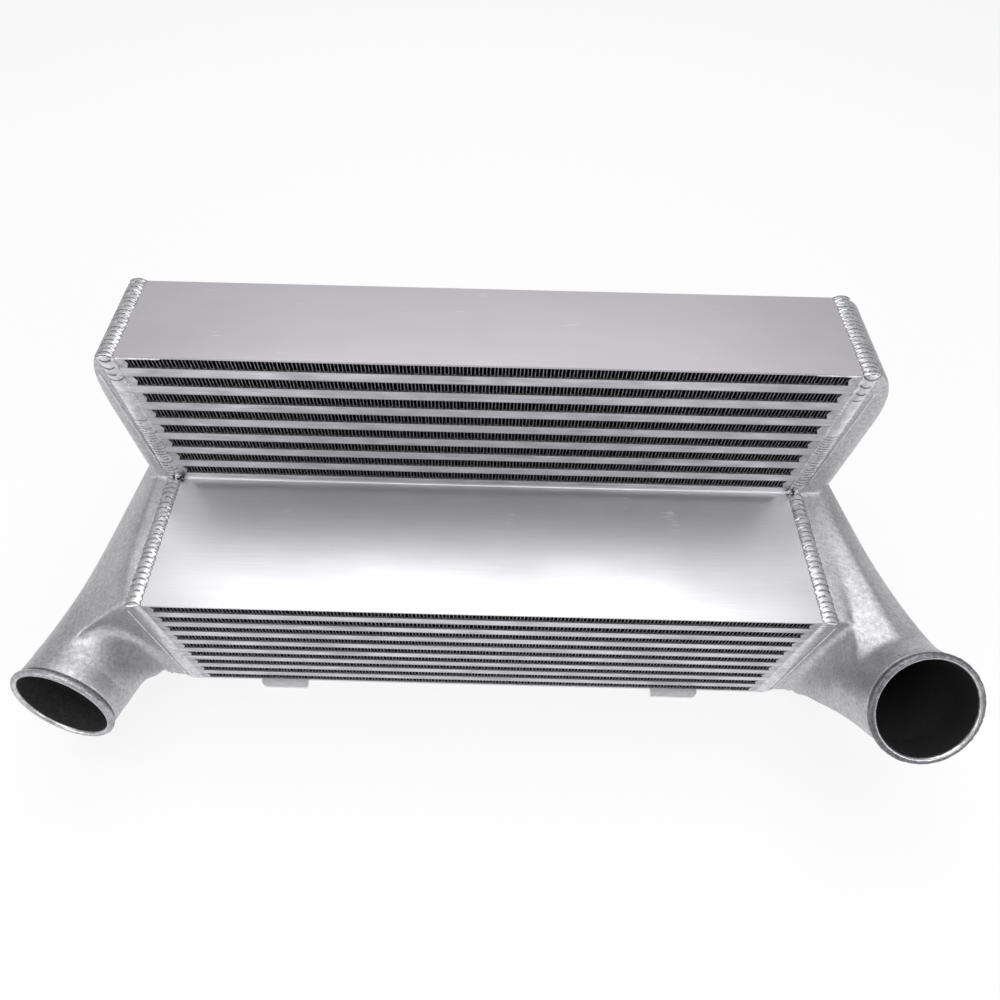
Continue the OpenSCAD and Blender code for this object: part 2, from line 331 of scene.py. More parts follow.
@dataclass(frozen=True)
class Finish:
    """Bare metal: patterns that together shade it from dark to light, and raise it one by one.

    The window is the band of the patterns' sum that is stretched from dark to light.
    """

    name: str
    grey: Grey
    metallic: float = 1.0
    patterns: tuple[Pattern, ...] = ()
    window: tuple[float, float] = (0.0, 1.0)

    def build(self) -> Material:
        """Make the material.

        Returns:
            The new material.
        """
        material = bpy.data.materials.new(self.name)
        material.use_nodes = True
        tree = material.node_tree
        where = add_node(tree, "ShaderNodeTexCoord", out="Object")
        values = [pattern.add_to(tree, where) for pattern in self.patterns]
        total = 0.0
        for value, pattern in zip(values, self.patterns):
            terms = {0: value, 1: pattern.share, 2: total}
            total = add_node(tree, "ShaderNodeMath", terms, operation="MULTIPLY_ADD")
        window = {"Value": total, "From Min": self.window[0], "From Max": self.window[1]}
        shade = add_node(tree, "ShaderNodeMapRange", window)
        roughness = {"Value": shade, "To Min": self.grey.rough_dark, "To Max": self.grey.rough_light}
        greys = {0: shade, 6: linear(self.grey.dark), 7: linear(self.grey.light)}
        colour = add_node(tree, "ShaderNodeMix", greys, 2, data_type="RGBA")
        heights = [(value, pattern.height_mm) for value, pattern in zip(values, self.patterns)]
        for mark in self.marks(tree, where):
            marked = {0: mark.value, 6: colour, 7: linear(mark.colour)}
            colour = add_node(tree, "ShaderNodeMix", marked, 2, data_type="RGBA")
            heights.append((mark.value, mark.height_mm))
        normal = {}
        for value, height_mm in heights:
            bumps = {"Height": value, "Distance": height_mm * MM, **normal}
            normal = {"Normal": add_node(tree, "ShaderNodeBump", bumps)}
        shader = tree.nodes["Principled BSDF"]
        shader.inputs["Metallic"].default_value = self.metallic
        rough = add_node(tree, "ShaderNodeMapRange", roughness)
        for key, socket in {"Base Color": colour, "Roughness": rough, **normal}.items():
            tree.links.new(socket, shader.inputs[key])
        return material

    def marks(self, tree: NodeTree, where: NodeSocket) -> list[Mark]:
        """What is drawn over the patterns; plain finishes have nothing."""
        return []


@dataclass(frozen=True)
class SandCast(Finish):
    """Sand-cast aluminium: a fine dry grain from the mould, with smoother and paler patches.

    The grain is drawn at 1.3 mm, coarser than real moulding sand, so that it shows.
    """

    patterns: tuple[Pattern, ...] = (
        Pattern(22, 0.2, share=0.4),
        Pattern(3.2, 0.2, detail=4),
        Pattern(1.3, 0.12, detail=2),
    )
    window: tuple[float, float] = (0.75, 1.65)


@dataclass(frozen=True)
class RolledSheet(Finish):
    """Rolled aluminium sheet: satin, with faint streaks along the rolling and a few scratches.

    The streaks are drawn 0.7 mm wide, several times the real width, so that they show.
    """

    patterns: tuple[Pattern, ...] = (
        Pattern(0.7, 0.0015, share=0.3, stretch=60, detail=2),
        Pattern(60, 0.15, stretch=2, detail=2),
    )
    window: tuple[float, float] = (0.4, 0.9)
    scratch: str = "f4f4f6"
    scratch_depth: float = 0.03

    def marks(self, tree: NodeTree, where: NodeSocket) -> list[Mark]:
        """Scratches along the sheet, where a fine and a wide pattern are both high.

        Args:
            tree: Node tree that gets them.
            where: Coordinates in metres.

        Returns:
            The scratches.
        """
        fine = Pattern(0.8, stretch=22, detail=1).add_to(tree, where)
        wide = Pattern(26, detail=1).add_to(tree, where)
        both = add_node(tree, "ShaderNodeMath", {0: fine, 1: wide}, operation="MULTIPLY")
        rare = add_node(tree, "ShaderNodeMapRange", {"Value": both, "From Min": 0.49, "From Max": 0.52})
        return [Mark(rare, self.scratch, -self.scratch_depth)]


@dataclass(frozen=True)
class BrazedStack(Finish):
    """Extruded bars brazed between parting sheets: streaks along the bar, a line at each sheet.

    The streaks are drawn 0.5 mm wide, several times the real width, so that they show.
    """

    patterns: tuple[Pattern, ...] = (
        Pattern(9, 0.08, stretch=3, detail=2),
        Pattern(0.5, 0.012, stretch=90, detail=2),
    )
    window: tuple[float, float] = (0.7, 1.35)
    first_z: float = 0.0
    line_depth: float = 0.12

    def marks(self, tree: NodeTree, where: NodeSocket) -> list[Mark]:
        """The lines between a bar and its sheets, by the height above the first tube.

        Args:
            tree: Node tree that gets them.
            where: Coordinates in metres.

        Returns:
            The lines.
        """
        place = add_node(tree, "ShaderNodeSeparateXYZ", {0: where}, "Z")
        for operation, value in (
            ("SUBTRACT", self.first_z * MM),
            ("FLOORED_MODULO", (FIN_ROW_H + TUBE_H) * MM),
            ("SUBTRACT", TUBE_H / 2 * MM),
            ("ABSOLUTE", 0.0),
        ):
            place = add_node(tree, "ShaderNodeMath", {0: place, 1: value}, operation=operation)
        seam = TUBE_H / 2 - SHEET_T
        reach = {"Value": place, "From Min": (seam - 0.1) * MM, "From Max": (seam + 0.15) * MM}
        line = add_node(tree, "ShaderNodeMapRange", reach)
        return [Mark(line, self.grey.dark, -self.line_depth)]


@dataclass(frozen=True)
class WeldMetal(Finish):
    """Metal cut, or frozen from a puddle: bright and smooth, with a light frost.

    The frost's grains are drawn at 0.6 mm, coarser than real ones, so that they show.
    """

    patterns: tuple[Pattern, ...] = (Pattern(5, 0.2, detail=2), Pattern(0.6, 0.06, detail=3))
    window: tuple[float, float] = (0.75, 1.3)


@dataclass(frozen=True)
class FinStock(Finish):
    """Thin folded strip: its sides are given a dark, dull grey as painted shade, where little light
    reaches between the folds.
    """

    patterns: tuple[Pattern, ...] = (Pattern(2.5, 0.05, detail=2),)
    window: tuple[float, float] = (0.35, 0.65)


@dataclass(frozen=True)
class PhotoCamera:
    """The photograph's viewpoint, worked out from the corners of the core."""

    place: tuple[float, float, float] = (-0.001567, -0.307658, 0.602022)
    right: tuple[float, float, float] = (0.99968161, 0.02168883, 0.01289448)
    down: tuple[float, float, float] = (0.02518224, -0.8253813, -0.5640138)
    lens: float = 24.99
    shift_x: float = 0.019

    def build(self) -> None:
        """Make the camera and set it as the scene's."""
        data = bpy.data.cameras.new("photo_camera")
        data.sensor_width = 36
        data.lens = self.lens
        data.shift_x = self.shift_x
        data.clip_start = 10 * MM
        camera = bpy.data.objects.new("photo_camera", data)
        right, up = Vector(self.right), -Vector(self.down)
        columns = [right, up, right.cross(up)]
        matrix = Matrix([[c[i] for c in columns] for i in range(3)]).to_4x4()
        matrix.translation = Vector(self.place)
        camera.matrix_world = matrix
        bpy.context.scene.collection.objects.link(camera)
        bpy.context.scene.camera = camera


@dataclass(frozen=True)
class Lamp:
    """A soft square lamp that looks at the middle of the part, in metres and watts."""

    name: str
    place: tuple[float, float, float]
    size: float
    watts: float
    aim: tuple[float, float, float] = (0, 0, 0.1)

    def build(self) -> None:
        """Put the lamp into the scene."""
        data = bpy.data.lights.new(self.name, "AREA")
        data.size = self.size
        data.energy = self.watts
        lamp = bpy.data.objects.new(self.name, data)
        lamp.location = self.place
        look = Vector(self.aim) - Vector(self.place)
        lamp.rotation_euler = look.to_track_quat("-Z", "Y").to_euler()
        bpy.context.scene.collection.objects.link(lamp)


@dataclass(frozen=True)
class Studio:
    """A white floor under soft light."""

    half: float = 4000.0
    sky: float = 0.42
    glow: float = 0.8
    lamps: tuple[Lamp, ...] = (
        Lamp("overhead", (0.0, 0.3, 1.9), 1.9, 22.0),
        Lamp("front_left", (-1.4, -1.2, 1.1), 1.0, 8.0),
        Lamp("front_right", (1.4, -1.2, 1.1), 1.0, 8.0),
    )

    def build(self) -> None:
        """Make the world, which lights the part evenly from all sides, the floor and the lamps."""
        scene = bpy.context.scene
        scene.view_settings.view_transform = "Standard"
        world = bpy.data.worlds.new("studio")
        world.use_nodes = True
        sky = world.node_tree.nodes["Background"]
        sky.inputs["Color"].default_value = (1, 1, 1, 1)
        sky.inputs["Strength"].default_value = self.sky
        scene.world = world
        self.build_floor()
        for lamp in self.lamps:
            lamp.build()

    def build_floor(self) -> None:
        """Make the floor: white to the eye and in the metal's reflections, with the part's shadow."""
        h = self.half
        corners = np.array([(-h, -h, 0), (h, -h, 0), (h, h, 0), (-h, h, 0)])
        mesh = mesh_from("floor", corners, [(0, 1, 2, 3)])
        material = bpy.data.materials.new("white_floor")
        material.use_nodes = True
        tree = material.node_tree
        shader = tree.nodes["Principled BSDF"]
        shader.inputs["Base Color"].default_value = linear("fafafa")
        shader.inputs["Roughness"].default_value = 0.9
        seen = add_node(tree, "ShaderNodeLightPath", out="Is Camera Ray")
        for ray in ("Is Glossy Ray", "Is Transmission Ray"):
            other = add_node(tree, "ShaderNodeLightPath", out=ray)
            seen = add_node(tree, "ShaderNodeMath", {0: seen, 1: other}, operation="MAXIMUM")
        share = add_node(tree, "ShaderNodeMath", {0: seen, 1: self.glow}, operation="MULTIPLY")
        white = add_node(tree, "ShaderNodeEmission", {"Color": (1, 1, 1, 1), "Strength": 1.0})
        mix = add_node(tree, "ShaderNodeMixShader", {0: share, 1: shader.outputs[0], 2: white})
        tree.links.new(mix, tree.nodes["Material Output"].inputs["Surface"])
        mesh.materials.append(material)
        mesh_object("floor", mesh)


@dataclass(frozen=True)
class FoldedRow:
    """One row of corrugated air fins, a little uneven and knocked, as used ones are.

    The strip is a thin sheet that runs up one leg, over a rounded fold and down the next. Its
    front edge is where the light catches it, and it is flared there, so that it shows.
    """

    pitch: float
    thickness: float = 0.25
    fold_r: float = 0.55
    # Depth behind the front, share of the sway and swell of the sheet at each cross section; the
    # last two depths count from the back.
    sections: tuple[tuple[float, float, float], ...] = (
        (0.0, 1.0, 2.3),
        (0.9, 0.9, 1.0),
        (5.0, 0.5, 1.0),
        (16.0, 0.0, 1.0),
        (-5.0, 0.0, 1.0),
        (-0.0, 0.4, 1.0),
    )
    drift: float = 0.05
    unevenness: float = 0.1
    lean: float = 0.12
    most_proud: float = 0.3
    seed: int = 0
    # Middle, width and size of each knock from handling.
    bent: tuple[tuple[float, float, float], ...] = ()

    def legs(self, low_x: float, high_x: float) -> np.ndarray:
        """Places of the legs along the core, a little uneven.

        Args:
            low_x: Lowest x of the row.
            high_x: Highest x of the row.

        Returns:
            One x per leg.
        """
        random = np.random.default_rng(self.seed)
        count = int((high_x - low_x) / self.pitch) + 1
        middle = (low_x + high_x) / 2
        even = (np.arange(count) - (count - 1) / 2) * self.pitch + middle
        drift = np.cumsum(random.normal(0, self.drift, count))
        drift -= np.linspace(drift[0], drift[-1], count)
        jitter = random.normal(0, self.unevenness, count) + drift
        jitter[[0, -1]] = 0
        return even + jitter

    def centre_line(self, low: np.ndarray, high: np.ndarray) -> tuple[np.ndarray, np.ndarray]:
        """Middle line of the strip, seen from the front.

        Args:
            low: Lowest corner of the row.
            high: Highest corner of the row.

        Returns:
            Points of x and z, and the index of the leg that each belongs to.
        """
        half = self.thickness / 2
        bottom, top, r = low[2] + half, high[2] - half, self.fold_r
        points, owner = [], []
        for k, x in enumerate(self.legs(low[0] + half, high[0] - half)):
            rises = k % 2 == 0
            for end in (0, 1):
                at_top = rises == (end == 1)
                z, sign = (top, -1) if at_top else (bottom, 1)
                side = -1 if end == 0 else 1
                turn = [(side * r, 0), (side * r * 0.3, sign * r * 0.3), (0, sign * r)]
                for dx, dz in turn if end == 0 else turn[::-1]:
                    points.append((x + dx, z + dz))
                    owner.append(k)
        line = np.array(points)
        line[:, 0] = np.clip(line[:, 0], low[0] + half, high[0] - half)
        return line, np.array(owner)

    def build(self, name: str, low: np.ndarray, high: np.ndarray) -> Mesh:
        """Make the row's mesh.

        Args:
            name: Name of the mesh.
            low: Lowest corner of the row.
            high: Highest corner of the row.

        Returns:
            The mesh; its cut edges have material index 1.
        """
        random = np.random.default_rng(self.seed + 500)
        line, owner = self.centre_line(low, high)
        count = len(line)
        run = np.gradient(line, axis=0)
        run /= np.linalg.norm(run, axis=1, keepdims=True)
        across = np.stack([-run[:, 1], run[:, 0]], 1) * self.thickness / 2
        front, lean = (random.normal(0, self.lean, owner.max() + 1)[owner] for _ in range(2))
        front = front.clip(-self.most_proud, self.most_proud)
        rise = (line[:, 1] - low[2]) / (high[2] - low[2])
        belly = np.sin(math.pi * rise.clip(0, 1))
        knock = np.zeros(count)
        for middle, width, size in self.bent:
            knock += size * np.exp(-(((line[:, 0] - middle) / width) ** 2))
        shells = []
        rings = len(self.sections)
        for sign in (1, -1):
            for i, (depth, share, wide) in enumerate(self.sections):
                x = line[:, 0] + sign * wide * across[:, 0] + share * belly * (lean + knock)
                from_back = i >= rings - 2
                y = np.full(count, depth + (high[1] if from_back else low[1]))
                if depth < 1 and not from_back:
                    y += front
                z = line[:, 1] + sign * wide * across[:, 1]
                shells.append(np.stack([x, y, z], 1).clip(low, high))
        one = rings * count
        faces = grid_faces(rings, count) + grid_faces(rings, count, start=one)
        sides = len(faces)
        for ring in (0, rings - 1):
            a, b = ring * count, one + ring * count
            faces += [(a + k, a + k + 1, b + k + 1, b + k) for k in range(count - 1)]
        edges = len(faces)
        for k in (0, count - 1):
            for i in range(rings - 1):
                a, b = i * count + k, (i + 1) * count + k
                faces.append((a, b, one + b, one + a))
        mesh = finish_mesh(mesh_from(name, np.concatenate(shells), faces))
        cut = np.zeros(len(mesh.polygons), bool)
        cut[sides:edges] = True
        mesh.polygons.foreach_set("material_index", cut.astype(int).tolist())
        mesh.polygons.foreach_set("use_smooth", (~cut).tolist())
        return mesh


@dataclass
class FinPack:
    """All rows of air fins, each in the place of its CAD row."""

    # Material of the fin sides, whose dark grey is painted shade.
    stock: Material
    edge: Material
    lower_pitches: tuple[float, ...] = (2.8, 2.7, 2.7, 2.65, 2.65, 2.5, 2.55, 2.8, 2.7)
    upper_pitch: float = 2.5
    knocks: dict[int, tuple[tuple[float, float, float], ...]] = field(
        default_factory=lambda: {
            8: ((-120.0, 14.0, 0.7), (60.0, 25.0, -0.6)),
            12: ((-180.0, 18.0, 0.7),),
            16: ((-10.0, 16.0, -0.9), (8.0, 6.0, 0.9), (150.0, 22.0, 0.6)),
        }
    )

    def build(self) -> None:
        """Make every row."""
        rows = sorted(name for name in bpy.data.objects.keys() if name.startswith("air_fin_row_"))
        for i, node in enumerate(rows):
            low, high = (np.array(p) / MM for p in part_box(node))
            pitch = self.lower_pitches[i] if i < len(self.lower_pitches) else self.upper_pitch
            name = f"folded_{node}"
            mesh = FoldedRow(pitch, seed=i, bent=self.knocks.get(i, ())).build(name, low, high)
            add_piece(name, mesh, [self.stock, self.edge], (node,))


@dataclass(frozen=True)
class BeadStyle:
    """How a stretch of weld looks: spacing and height of its ripples at marks along it.

    Marks are (share of the stretch, pitch in mm, ripple height in mm, bead height in mm).
    """

    marks: tuple[tuple[float, float, float, float], ...]

    def at(self, share: np.ndarray, column: int) -> np.ndarray:
        """One value along the stretch.

        Args:
            share: Places from 0 to 1.
            column: 1 for the pitch, 2 for the ripples, 3 for the bead.

        Returns:
            The value at each place.
        """
        table = np.array(self.marks)
        return np.interp(share, table[:, 0], table[:, column])


COINS = BeadStyle(((0, 4.4, 0.45, 1.3), (1, 4.4, 0.45, 1.3)))
TOP_COINS = BeadStyle(((0, 4.0, 0.45, 1.3), (1, 4.0, 0.4, 1.2)))
UPPER_FRONT = BeadStyle(
    (
        (0, 7, 0.45, 1.4),
        (0.14, 6, 0.4, 1.3),
        (0.2, 4, 0.05, 1.0),
        (0.4, 3, 0.05, 0.9),
        (0.55, 3, 0.35, 1.1),
        (1, 3.4, 0.6, 1.5),
    )
)
LOWER_FRONT = BeadStyle(
    ((0, 3.2, 0.05, 1.0), (0.4, 3.6, 0.18, 1.1), (0.7, 3.0, 0.06, 1.1), (1, 3.6, 0.2, 1.2))
)


@dataclass(frozen=True)
class Stretch:
    """A straight or quarter-round stretch of weld in the plane of the seam, in millimetres."""

    start: tuple[float, float]
    end: tuple[float, float]
    normals: tuple[tuple[float, float], tuple[float, float]]
    style: BeadStyle

    def samples(self, step: float, reach: float) -> tuple[np.ndarray, np.ndarray, float]:
        """Points along the stretch with their outward directions.

        Args:
            step: Distance between points.
            reach: Length of a stretch that only turns a corner.

        Returns:
            Points, outward directions and the length.
        """
        a, b = np.array(self.start), np.array(self.end)
        turn = reach if self.normals[0] != self.normals[1] else 0.0
        length = max(float(np.linalg.norm(b - a)), turn)
        share = np.linspace(0, 1, max(int(length / step), 2))[:, None]
        points = a + (b - a) * share
        outward = np.array(self.normals[0]) * (1 - share) + np.array(self.normals[1]) * share
        return points, outward / np.linalg.norm(outward, axis=1, keepdims=True), length


@dataclass
class SeamWeld:
    """The weld that joins a tank to the core, laid as overlapping puddles by hand."""

    core: Core
    side: Side
    metal: Material
    # Material of the painted shade in the ripples' valleys and beside the tank.
    undercut: Material
    width: float = 12.0
    past_seam: float = 2.0
    step: float = 0.4
    columns: int = 17
    separator: float = 0.1
    sink: float = 0.3
    corner_reach: float = 3.0
    # Puddles told apart by where their dark line lies, and how far each bows back in its middle.
    coins: int = 400
    coin_bow: float = 0.55
    least_lined: float = 0.15
    wobble: float = 0.12
    wobble_step: float = 0.35

    def paths(self) -> list[list[Stretch]]:
        """The three runs of weld: the lower rows' front and step, the upper front, the top and back.

        Returns:
            Runs, each a list of stretches.
        """
        c = self.core
        front, up, back = (-1.0, 0.0), (0.0, 1.0), (1.0, 0.0)
        edge, step, inner = (c.front_y, c.step_z), (c.step_y, c.top_z), (c.step_y, c.step_z)
        rear, foot = (c.back_y, c.top_z), (c.back_y, c.bottom_z)
        lower = [
            Stretch((c.front_y, c.bottom_z), edge, (front, front), LOWER_FRONT),
            Stretch(edge, edge, (front, up), COINS),
            Stretch(edge, inner, (up, up), COINS),
        ]
        upper = [Stretch(step, inner, (front, front), UPPER_FRONT)]
        over = [
            Stretch(step, step, (front, up), TOP_COINS),
            Stretch(step, rear, (up, up), TOP_COINS),
            Stretch(rear, rear, (up, back), COINS),
            Stretch(rear, foot, (back, back), COINS),
        ]
        return [lower, upper, over]

    def ripples(self, phase: np.ndarray) -> np.ndarray:
        """Height of overlapping puddles: broad coins that lean back, with narrow valleys between.

        Args:
            phase: Count of puddles passed.

        Returns:
            Heights from 0 to 1.
        """
        t = phase % 1.0
        valley = np.exp(-(((t - 0.5) / 0.1) ** 2))
        return 0.75 - 0.3 * np.where(t > 0.5, t - 1, t) - 0.7 * valley

    def run_mesh(self, name: str, run: list[Stretch], seed: int) -> Mesh:
        """Sweep the bead along one run.

        Args:
            name: Name of the mesh.
            run: The run's stretches.
            seed: Seed of its unevenness.

        Returns:
            The mesh.
        """
        random = np.random.default_rng(seed)
        across = np.linspace(-1, 1, self.columns)
        between = (across[1:] + across[:-1]) / 2
        reach = random.uniform(0.3, 1.3, self.coins)
        shift = random.uniform(-0.4, 0.4, self.coins)
        crown = (1 - across**4) * np.sqrt(np.clip(1 - 0.75 * across**2, 0, 1))
        rows, dark, phase = [], [], 0.0
        middle = self.core.half_l + self.past_seam - self.width / 2
        for stretch in run:
            points, outward, length = stretch.samples(self.step, self.corner_reach)
            share = np.linspace(0, 1, len(points))
            pitches, ripples, beads = (stretch.style.at(share, column) for column in (1, 2, 3))
            drift = np.cumsum(random.normal(0, self.wobble_step, len(points)))
            wobble = 1 + self.wobble * np.sin(drift)
            phases = phase + np.cumsum(length / len(points) / (pitches * wobble))
            phase = phases[-1]
            for now, ripple, bead, point, out in zip(phases, ripples, beads, points, outward):
                turns = now + self.coin_bow * across**2
                middles = (turns[1:] + turns[:-1]) / 2
                coin = middles.astype(int) % self.coins
                in_valley = np.abs(middles % 1.0 - 0.5) < self.separator
                in_reach = np.abs(between - shift[coin]) < reach[coin]
                # Faces in a ripple's valley get the painted shade.
                dark.append((ripple > self.least_lined) & in_valley & in_reach)
                height = bead * crown + ripple * self.ripples(turns) * (1 - across**6)
                height = np.where(np.abs(across) == 1, -self.sink, height)
                spread = 1 + 0.05 * math.sin(now * 2 * math.pi) + 0.02 * math.sin(now * 1.7)
                x = self.side.value * (middle + across * self.width / 2 * spread)
                yz = point[None, :] + out[None, :] * height[:, None]
                rows.append(np.concatenate([x[:, None], yz], 1))
        # The last strip of each row is the weld's underside; the one beside the tank is painted dark as
        # painted shade.
        faces = grid_faces(len(rows), self.columns, wrap=True) + end_faces(len(rows), self.columns)
        valleys = np.array(dark[:-1])
        valleys[:, -1] = True
        kind = np.zeros(len(faces), int)
        kind[:-2] = np.pad(valleys, ((0, 0), (0, 1))).ravel()
        mesh = mesh_from(name, np.concatenate(rows), faces)
        mesh.polygons.foreach_set("material_index", kind.tolist())
        return finish_mesh(mesh)

    def build(self) -> None:
        """Make the runs and join them to one piece."""
        label = self.side.label
        work = bmesh.new()
        for i, run in enumerate(self.paths()):
            part = self.run_mesh(f"{label}_run_{i}", run, 40 + 10 * i + self.side.value)
            work.from_mesh(part)
            bpy.data.meshes.remove(part)
        name = f"{label}_seam_bead"
        metals = [self.metal, self.undercut]
        add_piece(name, mesh_of(name, work), metals, (f"{label}_weld",))


@dataclass
class Ridges:
    """Thin raised lines where a casting's flange, a plate's rim or a fillet catches the light."""

    core: Core
    side: Side
    metal: Material
    radius: float = 0.8
    around: int = 8
    step: float = 2.0
    flange: float = 6.0
    shelf: float = 14.0
    rim: float = 40.0
    past_weld: float = 2.6
    shelf_sink: float = 0.5
    rim_drop: float = 1.5
    end_swell: float = 0.35

    def lines(self) -> list[tuple[tuple[float, float, float], tuple[float, float, float]]]:
        """Ends of the ridges, told for the right end: leg flange, front flange, shelf and top rim.

        Returns:
            Pairs of points in millimetres.
        """
        c = self.core
        seam = c.half_l + self.past_weld
        shelf_y, rim_z = c.step_y - self.shelf_sink, c.top_z - self.rim_drop
        return [
            ((c.half_l + self.flange, c.step_y, c.top_z - 16), (seam, c.step_y, c.step_z + 12)),
            ((seam, c.front_y, 6), (seam, c.front_y, c.step_z - 8)),
            ((seam, shelf_y, c.step_z), (seam + self.shelf, shelf_y, c.step_z)),
            ((c.half_l - self.rim, c.step_y, rim_z), (c.half_l - 9, c.step_y, rim_z)),
        ]

    def tube(
        self, start: np.ndarray, end: np.ndarray, random: np.random.Generator
    ) -> tuple[np.ndarray, list]:
        """A thin uneven rod that lies half sunk in the surface.

        Args:
            start: First end.
            end: Second end.
            random: Source of its unevenness.

        Returns:
            Points and faces.
        """
        along = end - start
        length = np.linalg.norm(along)
        along /= length
        first = np.cross(along, (0.0, 0.0, 1.0) if abs(along[2]) < 0.7 else (1.0, 0.0, 0.0))
        first /= np.linalg.norm(first)
        second = np.cross(along, first)
        count = max(int(length / self.step), 3)
        waves = np.convolve(random.normal(0, 0.3, count + 2), np.ones(3) / 3, "valid")
        swell = 1 + waves.clip(-0.5, 0.5)
        swell[[0, -1]] = self.end_swell
        points = []
        for place, share in zip(np.linspace(0, length, count), swell):
            for k in range(self.around):
                a = 2 * math.pi * k / self.around
                offset = first * math.cos(a) + second * math.sin(a)
                points.append(start + along * place + offset * self.radius * share)
        faces = grid_faces(count, self.around, wrap=True) + end_faces(count, self.around)
        return np.array(points), faces

    def build(self) -> None:
        """Make all ridges of this end as one piece."""
        random = np.random.default_rng(70 + self.side.value)
        points, faces, used = [], [], 0
        for start, end in self.lines():
            part, part_faces = self.tube(np.array(start, float), np.array(end, float), random)
            faces += [tuple(i + used for i in face) for face in part_faces]
            points.append(part * (self.side.value, 1, 1))
            used += len(part)
        name = f"{self.side.label}_flange_ridges"
        mesh = finish_mesh(mesh_from(name, np.concatenate(points), faces))
        add_piece(name, mesh, [self.metal])


@dataclass
class Spatter:
    """Flakes of spilt weld metal and soot, where the upper front weld ends on the step plate."""

    core: Core
    side: Side
    metal: Material
    soot: Material
    count: int = 26
    reach: float = 6.0
    size: float = 1.4
    inward: float = 8.0
    forward: float = 2.0
    lift: float = 1.5
    scatter: float = 0.45
    flatten: tuple[float, float, float] = (1.0, 0.25, 0.6)

    def build(self) -> None:
        """Make the flakes as one piece, every second one sooty."""
        c = self.core
        random = np.random.default_rng(90 + self.side.value)
        work = bmesh.new()
        x = self.side.value * (c.half_l - self.inward)
        corner = np.array([x, c.step_y - self.forward, c.step_z + self.lift])
        for k in range(self.count):
            away = random.normal(0, self.scatter, 3).clip(-1, 1) * self.reach * self.flatten
            away[2] = abs(away[2])
            sizes = self.size * random.uniform(0.5, 1.4, 3)
            place = (corner + away) * MM
            angle = random.uniform(0, math.pi)
            turn = Matrix.Rotation(angle, 4, Vector(random.normal(0, 1, 3)).normalized())
            matrix = Matrix.Translation(Vector(place)) @ turn @ Matrix.Diagonal((*(sizes * MM), 1.0))
            made = bmesh.ops.create_icosphere(work, subdivisions=2, radius=1.0, matrix=matrix)
            for vertex in made["verts"]:
                for face in vertex.link_faces:
                    face.material_index = k % 2
                    face.smooth = True
        name = f"{self.side.label}_corner_spatter"
        add_piece(name, mesh_of(name, work), [self.metal, self.soot])


@dataclass(frozen=True)
class Port:
    """A hose port: where its mouth is and where it looks, told for the right end."""

    out: float
    forward: float
    up: float
    lift: float
    turn: float
    bore_r: float = 35.0
    wall: float = 3.1
    spigot_l: float = 24.0
    collar_l: float = 3.0
    collar_step: float = 0.5
    bead_r: float = 2.5
    bead_inset: float = 0.6
    groove_w: float = 2.5
    groove_depth: float = 0.7

    @property
    def spigot_r(self) -> float:
        """Outer radius of the spigot."""
        return self.bore_r + self.wall

    def axes(self) -> tuple[np.ndarray, np.ndarray, np.ndarray]:
        """Direction that the port looks in, and two directions across it.

        Returns:
            The axis, the direction nearest to outward, and the third one.
        """
        lift, turn = math.radians(self.lift), math.radians(self.turn)
        axis = np.array(
            [math.sin(turn) * math.cos(lift), -math.cos(turn) * math.cos(lift), math.sin(lift)]
        )
        across = np.array([1.0, 0.0, 0.0]) - axis * axis[0]
        across /= np.linalg.norm(across)
        return axis, across, np.cross(axis, across)

    def mouth(self, core: Core) -> np.ndarray:
        """Middle of the mouth.

        Args:
            core: The core that it is measured from.

        Returns:
            The point in millimetres.
        """
        return np.array([core.half_l + self.out, core.front_y - self.forward, self.up])


@dataclass(frozen=True)
class Station:
    """Shape of a neck at one place on its outline, as the CAD has it."""

    place: float
    angle: float
    reach: float
    seam_pull: float
    port_pull: float


@dataclass(frozen=True)
class TankShape:
    """What tells one tank from the other."""

    port: Port
    leg_out: float
    shoulder_h: float
    stub_l: float
    stations: tuple[Station, ...]


RIGHT_TANK = TankShape(
    port=Port(45.8, 60.6, 144.8, 46.3, 3.0),
    leg_out=23.3,
    shoulder_h=64.0,
    stub_l=30.0,
    stations=(
        Station(0, 220, 9, 30, 35),
        Station(1, 300, 13, 20, 75),
        Station(2, 430, 12, 30, 120),
        Station(2.4, 458, 12, 16, 12),
        Station(3, 515, 10, 8, 4),
        Station(3.2, 527, 8, 15, 30),
        Station(3.5, 545, 7, 27, 50),
    ),
)
LEFT_TANK = TankShape(
    port=Port(57.1, 54.7, 84.7, 14.9, 11.2),
    leg_out=16.0,
    shoulder_h=70.0,
    stub_l=6.0,
    stations=(
        Station(0, 190, 8, 22, 40),
        Station(1, 255, 12, 25, 100),
        Station(2, 362, 10, 25, 130),
        Station(2.4, 382, 10, 25, 125),
        Station(2.84, 430, 9, 22, 112),
        Station(3, 452, 3, 0, 45),
        Station(3.14, 464, 7, 22, 99),
        Station(3.5, 492, 7, 20, 85),
    ),
)


